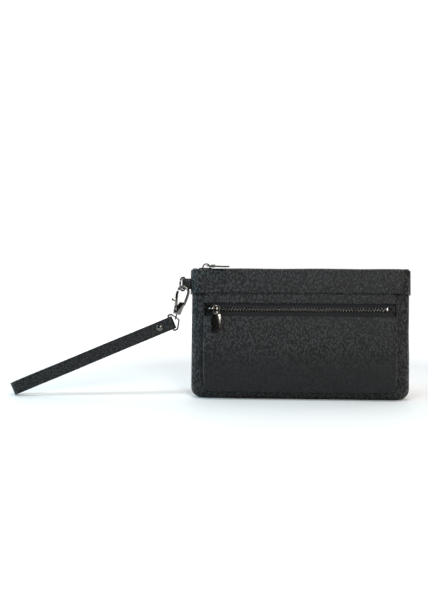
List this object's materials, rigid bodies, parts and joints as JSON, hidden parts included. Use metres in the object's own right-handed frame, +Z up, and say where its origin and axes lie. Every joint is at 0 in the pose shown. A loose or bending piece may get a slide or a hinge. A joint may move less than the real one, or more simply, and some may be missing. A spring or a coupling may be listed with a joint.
{
  "type": "wristlet wallet",
  "caption": "Soft leather zip pouch with a zipped front pocket and a wrist strap on a swivel hook; holds a phone, cards, notes and keys in the hand.",
  "frame": {"origin": "middle of the flat base that the wallet stands on", "axes": "+X to the right as the front pocket is faced, with the strap on the -X side; +Y from the front pocket to the back; +Z up from the base to the zipped mouth"},
  "size_m": [0.4047, 0.0339, 0.1353],
  "materials": {
    "leather": "pebbled, satin",
    "lining": "woven",
    "tape": "woven",
    "gunmetal": "polished black nickel"
  },
  "bodies": {
    "pouch": {"front_panel": "leather", "back_panel": "leather", "front_lining": "lining", "back_lining": "lining", "front_yoke": "leather", "back_yoke": "leather", "side_tab": "leather", "card_panel": "lining", "card_slot_1": "leather", "card_slot_2": "leather", "card_slot_3": "leather", "pocket_panel": "leather", "pocket_top_band": "leather", "pocket_gusset": "leather", "pocket_front_lining": "lining", "pocket_back_lining": "lining", "front_zip_teeth_upper": "gunmetal", "front_zip_teeth_lower": "gunmetal", "front_zip_tape_upper": "tape", "front_zip_tape_lower": "tape", "front_zip_bottom_stop": "gunmetal", "top_zip_teeth_front": "gunmetal", "top_zip_teeth_back": "gunmetal", "top_zip_tape_front": "tape", "top_zip_tape_back": "tape", "top_zip_top_stop_front": "gunmetal", "top_zip_top_stop_back": "gunmetal", "top_zip_bottom_stop": "gunmetal", "zip_end_left": "leather", "zip_end_right": "leather"},
    "front_slider": {"front_zip_slider": "gunmetal"},
    "front_bail": {"front_zip_pull_bail": "gunmetal"},
    "front_pull": {"front_zip_pull_tab": "gunmetal"},
    "top_slider": {"top_zip_slider": "gunmetal"},
    "top_bail": {"top_zip_pull_bail": "gunmetal"},
    "top_pull": {"top_zip_pull_tab": "gunmetal"},
    "ring": {"d_ring": "gunmetal"},
    "hook": {"hook_body": "gunmetal", "hook_gate_pin": "gunmetal", "hook_spring": "gunmetal"},
    "gate": {"hook_gate": "gunmetal"},
    "swivel": {"hook_swivel": "gunmetal"},
    "strap_link": {"strap_ring": "gunmetal"},
    "strap": {"strap_inner": "leather", "strap_outer": "leather", "rivet_cap": "gunmetal", "rivet_post": "gunmetal"}
  },
  "joints": [
    {"name": "front_zip_slide", "type": "slide", "parent": "pouch", "child": "front_slider", "axis": [1, 0, 0], "range_m": [0, 0.163], "deforming": ["front_zip_teeth_upper", "front_zip_teeth_lower"]},
    {"name": "front_bail_swing", "type": "hinge", "parent": "front_slider", "child": "front_bail", "pos_m": [-0.08305, -0.01756, 0.09097], "axis": [0, 0.9781, -0.2079], "range_deg": [-95, 20]},
    {"name": "front_pull_lift", "type": "hinge", "parent": "front_bail", "child": "front_pull", "pos_m": [-0.0826, -0.01839, 0.08705], "axis": [-1, 0, 0], "range_deg": [0, 95]},
    {"name": "top_zip_slide", "type": "slide", "parent": "pouch", "child": "top_slider", "axis": [1, 0, 0], "range_m": [0, 0.182], "deforming": ["top_zip_teeth_front", "top_zip_teeth_back"]},
    {"name": "top_bail_swing", "type": "hinge", "parent": "top_slider", "child": "top_bail", "pos_m": [-0.09005, 0, 0.13275], "axis": [0, 0, -1], "range_deg": [-45, 70]},
    {"name": "top_pull_lift", "type": "hinge", "parent": "top_bail", "child": "top_pull", "pos_m": [-0.0867, -0.00223, 0.13275], "axis": [-0.6428, -0.766, 0], "range_deg": [0, 95]},
    {"name": "ring_swing", "type": "hinge", "parent": "pouch", "child": "ring", "pos_m": [-0.11596, 0, 0.1145], "axis": [0, 0, 1], "range_deg": [-90, 12]},
    {"name": "hook_swing", "type": "hinge", "parent": "ring", "child": "hook", "pos_m": [-0.11803, -0.00444, 0.10796], "axis": [0.4226, 0.9063, 0], "range_deg": [-8, 20]},
    {"name": "gate_open", "type": "hinge", "parent": "hook", "child": "gate", "pos_m": [-0.12442, -0.00444, 0.08914], "axis": [0, 1, 0], "range_deg": [0, 22], "stiffness_Nm_per_rad": 0.01, "springref_deg": -17.19, "deforming": ["hook_spring"]},
    {"name": "swivel_turn", "type": "hinge", "parent": "hook", "child": "swivel", "pos_m": [-0.12327, -0.00444, 0.08444], "axis": [0.2756, 0, 0.9613], "range_deg": [-90, 45]},
    {"name": "link_swing", "type": "hinge", "parent": "swivel", "child": "strap_link", "pos_m": [-0.12432, -0.00444, 0.08079], "axis": [0, 1, 0], "range_deg": [-5, 10]},
    {"name": "strap_swing", "type": "hinge", "parent": "strap_link", "child": "strap", "pos_m": [-0.12937, -0.00444, 0.07501], "axis": [-0.3891, 0, 0.9212], "range_deg": [-60, 30]}
  ]
}
